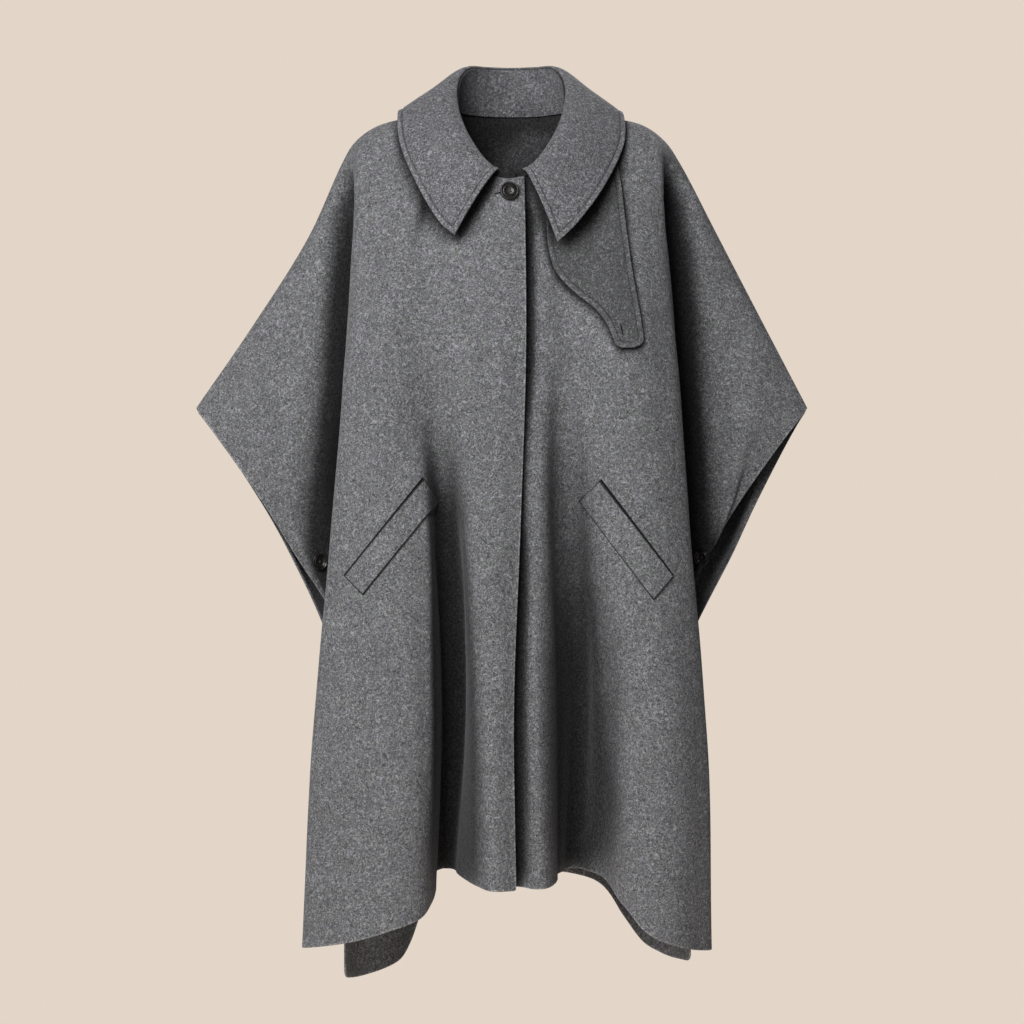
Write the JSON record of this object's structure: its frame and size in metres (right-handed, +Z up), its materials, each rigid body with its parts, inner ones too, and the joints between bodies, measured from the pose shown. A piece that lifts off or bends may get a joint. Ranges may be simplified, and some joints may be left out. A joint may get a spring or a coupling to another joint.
{
  "type": "poncho coat with pointed collar",
  "caption": "Knee-length wool poncho coat with a pointed collar, wing sides, slanted welt pockets and a storm flap.",
  "frame": {"origin": "between the shoulders, level with the back neck, where a wearer's shoulders hold the garment", "axes": "+Z up, -Y the front of the garment, +X the wearer's left"},
  "size_m": [0.7663, 0.351, 1.1508],
  "materials": {
    "wool": "brushed grey melange wool",
    "wool_collar": "brushed grey melange wool",
    "button": "black, polished"
  },
  "bodies": {
    "root": {"front_right": "wool", "front_left": "wool", "back": "wool", "storm_flap": "wool", "welt_right": "wool", "welt_left": "wool", "collar_leaf": "wool_collar", "collar_stand": "wool_collar", "button_neck": "button", "button_side_right": "button", "button_side_left": "button"}
  },
  "joints": []
}
